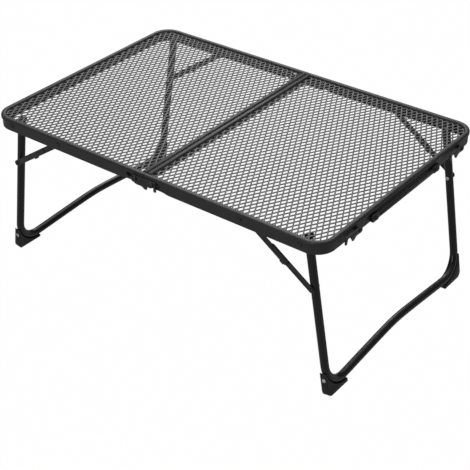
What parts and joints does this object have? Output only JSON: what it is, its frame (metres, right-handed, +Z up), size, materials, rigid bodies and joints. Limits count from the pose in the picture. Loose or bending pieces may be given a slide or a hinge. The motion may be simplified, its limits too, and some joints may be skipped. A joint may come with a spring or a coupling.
{
  "type": "folding camp table",
  "caption": "Low folding camp table with a wire mesh top in two hinged frames, fold-down U-shaped legs, hook locks and a carry handle.",
  "frame": {"origin": "centre of the open table, on the ground", "axes": "+X along the length, towards the end with the carry handle; +Y towards the rear long side; +Z up"},
  "size_m": [0.6164, 0.4106, 0.2545],
  "materials": {
    "frame_black": "fine matt powder coat, softly lit along its rounded rim",
    "mesh_black": "expanded metal mesh, powder coated",
    "leg_black": "powder coated steel tube",
    "brace_black": "powder coated stamped steel",
    "foot_black": "moulded black plastic, slightly grained",
    "lock_steel": "black plated stamped steel, a little glossy",
    "handle_grey": "dark grey painted spring strap",
    "rivet_zinc": "bright zinc plated",
    "rivet_black": "black coated rivet"
  },
  "bodies": {
    "left_half": {"rail_left": "frame_black", "bar_left": "frame_black", "mesh_left": "mesh_black", "bracket_left_front": "frame_black", "leg_rivet_left_front": "rivet_black", "brace_rivet_top_left_front": "rivet_black", "bracket_left_rear": "frame_black", "leg_rivet_left_rear": "rivet_black", "brace_rivet_top_left_rear": "rivet_black", "lock_pivot_front": "rivet_zinc", "lock_pivot_rear": "rivet_zinc", "hook_stud_front": "rivet_zinc", "hook_stud_rear": "rivet_zinc"},
    "leg_frame_left": {"leg_left": "leg_black", "foot_left_front": "foot_black", "foot_left_rear": "foot_black"},
    "brace_top_left": {"brace_upper_left_front": "brace_black", "brace_rivet_knee_left_front": "rivet_black", "brace_upper_left_rear": "brace_black", "brace_rivet_knee_left_rear": "rivet_black"},
    "brace_low_left": {"brace_lower_left_front": "brace_black", "brace_rivet_leg_left_front": "rivet_black", "brace_lower_left_rear": "brace_black", "brace_rivet_leg_left_rear": "rivet_black"},
    "right_half": {"rail_right": "frame_black", "bar_right": "frame_black", "mesh_right": "mesh_black", "bracket_right_front": "frame_black", "leg_rivet_right_front": "rivet_black", "brace_rivet_top_right_front": "rivet_black", "bracket_right_rear": "frame_black", "leg_rivet_right_rear": "rivet_black", "brace_rivet_top_right_rear": "rivet_black", "lock_stud_front": "rivet_zinc", "lock_stud_rear": "rivet_zinc", "hook_rivet_front": "rivet_zinc", "hook_rivet_rear": "rivet_zinc", "handle": "handle_grey", "handle_rivet_front": "rivet_zinc", "handle_rivet_rear": "rivet_zinc"},
    "leg_frame_right": {"leg_right": "leg_black", "foot_right_front": "foot_black", "foot_right_rear": "foot_black"},
    "brace_top_right": {"brace_upper_right_front": "brace_black", "brace_rivet_knee_right_front": "rivet_black", "brace_upper_right_rear": "brace_black", "brace_rivet_knee_right_rear": "rivet_black"},
    "brace_low_right": {"brace_lower_right_front": "brace_black", "brace_rivet_leg_right_front": "rivet_black", "brace_lower_right_rear": "brace_black", "brace_rivet_leg_right_rear": "rivet_black"},
    "fold_link": {"fold_link_front": "brace_black", "fold_link_rear": "brace_black"},
    "lock_front": {"lock_lever_front": "lock_steel"},
    "hook_body_front": {"hook_front": "lock_steel"},
    "lock_rear": {"lock_lever_rear": "lock_steel"},
    "hook_body_rear": {"hook_rear": "lock_steel"}
  },
  "joints": [
    {"name": "fold_left", "type": "hinge", "parent": "left_half", "child": "fold_link", "pos_m": [-0.0095, 0, 0.2395], "axis": [0, 1, 0], "range_deg": [0, 90]},
    {"name": "fold_right", "type": "hinge", "parent": "fold_link", "child": "right_half", "pos_m": [0.0095, 0, 0.2395], "axis": [0, 1, 0], "range_deg": [0, 90]},
    {"name": "leg_left_fold", "type": "hinge", "parent": "left_half", "child": "leg_frame_left", "pos_m": [-0.2625, 0, 0.244], "axis": [0, -1, 0], "range_deg": [0, 99]},
    {"name": "brace_left_top", "type": "hinge", "parent": "left_half", "child": "brace_top_left", "pos_m": [-0.166, 0, 0.2445], "axis": [0, -1, 0], "range_deg": [0, 143.6]},
    {"name": "brace_left_knee", "type": "hinge", "parent": "brace_top_left", "child": "brace_low_left", "pos_m": [-0.21143, 0, 0.21339], "axis": [0, 1, 0], "range_deg": [0, 178.72]},
    {"name": "leg_right_fold", "type": "hinge", "parent": "right_half", "child": "leg_frame_right", "pos_m": [0.2625, 0, 0.244], "axis": [0, 1, 0], "range_deg": [0, 99]},
    {"name": "brace_right_top", "type": "hinge", "parent": "right_half", "child": "brace_top_right", "pos_m": [0.166, 0, 0.2445], "axis": [0, 1, 0], "range_deg": [0, 143.6]},
    {"name": "brace_right_knee", "type": "hinge", "parent": "brace_top_right", "child": "brace_low_right", "pos_m": [0.21143, 0, 0.21339], "axis": [0, -1, 0], "range_deg": [0, 178.72]},
    {"name": "lock_front_lift", "type": "hinge", "parent": "left_half", "child": "lock_front", "pos_m": [-0.015, -0.2005, 0.2445], "axis": [0, -1, 0], "range_deg": [0, 180]},
    {"name": "lock_rear_lift", "type": "hinge", "parent": "left_half", "child": "lock_rear", "pos_m": [-0.015, 0.2005, 0.2445], "axis": [0, -1, 0], "range_deg": [0, 180]},
    {"name": "hook_front_swing", "type": "hinge", "parent": "right_half", "child": "hook_body_front", "pos_m": [0.303, -0.121, 0.2425], "axis": [1, 0, 0], "range_deg": [0, 90]},
    {"name": "hook_rear_swing", "type": "hinge", "parent": "right_half", "child": "hook_body_rear", "pos_m": [0.303, 0.148, 0.2425], "axis": [1, 0, 0], "range_deg": [0, 90]}
  ],
  "couplings": [
    {"joint": "brace_left_top", "follows": "leg_left_fold", "ratio": 1.4505},
    {"joint": "brace_left_knee", "follows": "leg_left_fold", "ratio": 1.8053},
    {"joint": "brace_right_top", "follows": "leg_right_fold", "ratio": 1.4505},
    {"joint": "brace_right_knee", "follows": "leg_right_fold", "ratio": 1.8053}
  ]
}
